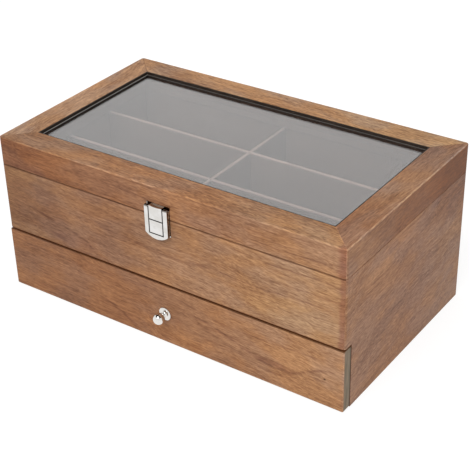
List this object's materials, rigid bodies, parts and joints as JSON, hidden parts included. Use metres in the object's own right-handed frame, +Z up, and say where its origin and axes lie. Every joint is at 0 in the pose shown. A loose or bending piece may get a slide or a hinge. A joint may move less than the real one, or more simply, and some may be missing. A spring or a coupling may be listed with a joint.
{
  "type": "sunglasses display box",
  "caption": "Wooden display box for sunglasses: a hinged, latched lid with a glass window over a lined and divided tray, and a full-width divided drawer below it.",
  "frame": {"origin": "middle of the footprint of the case, on the surface that the box stands on", "axes": "+X to the right along the front, +Y to the back, +Z up; the latch and the drawer knob face -Y"},
  "size_m": [0.345, 0.218, 0.15],
  "materials": {
    "walnut_veneer": "satin walnut veneer with fine pores",
    "inner_board": "plain stained board",
    "velvet_lining": "short-pile dark velvet over padding",
    "divider_velvet": "short-pile dark velvet over thin board, with a pale upper edge",
    "window_glass": "clear polished",
    "black_gasket": "satin black extrusion",
    "chrome": "bright plated",
    "hinge_steel": "nickel plated"
  },
  "bodies": {
    "case": {"back_panel": "walnut_veneer", "base_board": "inner_board", "hinge_body_screws": "hinge_steel", "latch_keeper": "chrome", "latch_keeper_nails": "chrome", "left_hinge_body_leaf": "hinge_steel", "left_hinge_pin": "hinge_steel", "left_side_panel": "walnut_veneer", "right_hinge_body_leaf": "hinge_steel", "right_hinge_pin": "hinge_steel", "right_side_panel": "walnut_veneer", "tray_back_divider": "divider_velvet", "tray_back_lining": "velvet_lining", "tray_cross_divider": "divider_velvet", "tray_floor_board": "inner_board", "tray_floor_lining": "velvet_lining", "tray_front_divider": "divider_velvet", "tray_front_lining": "velvet_lining", "tray_left_lining": "velvet_lining", "tray_right_lining": "velvet_lining", "upper_front_panel": "walnut_veneer"},
    "lid": {"glass_pane": "window_glass", "hinge_lid_screws": "hinge_steel", "latch_lid_nails": "chrome", "latch_lid_plate": "chrome", "latch_pin": "chrome", "left_hinge_lid_leaf": "hinge_steel", "lid_back_liner": "velvet_lining", "lid_back_rail": "walnut_veneer", "lid_front_liner": "velvet_lining", "lid_front_rail": "walnut_veneer", "lid_left_liner": "velvet_lining", "lid_left_rail": "walnut_veneer", "lid_right_liner": "velvet_lining", "lid_right_rail": "walnut_veneer", "right_hinge_lid_leaf": "hinge_steel", "window_gasket": "black_gasket"},
    "flap": {"latch_flap": "chrome"},
    "drawer": {"drawer_back": "inner_board", "drawer_back_divider": "divider_velvet", "drawer_back_lining": "velvet_lining", "drawer_bottom": "inner_board", "drawer_cross_divider": "divider_velvet", "drawer_floor_lining": "velvet_lining", "drawer_front": "walnut_veneer", "drawer_front_divider": "divider_velvet", "drawer_front_lining": "velvet_lining", "drawer_inner_front": "inner_board", "drawer_knob": "chrome", "drawer_left_lining": "velvet_lining", "drawer_left_side": "inner_board", "drawer_right_lining": "velvet_lining", "drawer_right_side": "inner_board", "knob_screw": "hinge_steel"}
  },
  "joints": [
    {"name": "lid_hinge", "type": "hinge", "parent": "case", "child": "lid", "pos_m": [0, 0.10225, 0.124], "axis": [-1, 0, 0], "range_deg": [0, 95]},
    {"name": "flap_hinge", "type": "hinge", "parent": "lid", "child": "flap", "pos_m": [0, -0.10315, 0.133], "axis": [-1, 0, 0], "range_deg": [0, 170]},
    {"name": "drawer_slide", "type": "slide", "parent": "case", "child": "drawer", "axis": [0, -1, 0], "range_m": [0, 0.15]}
  ]
}
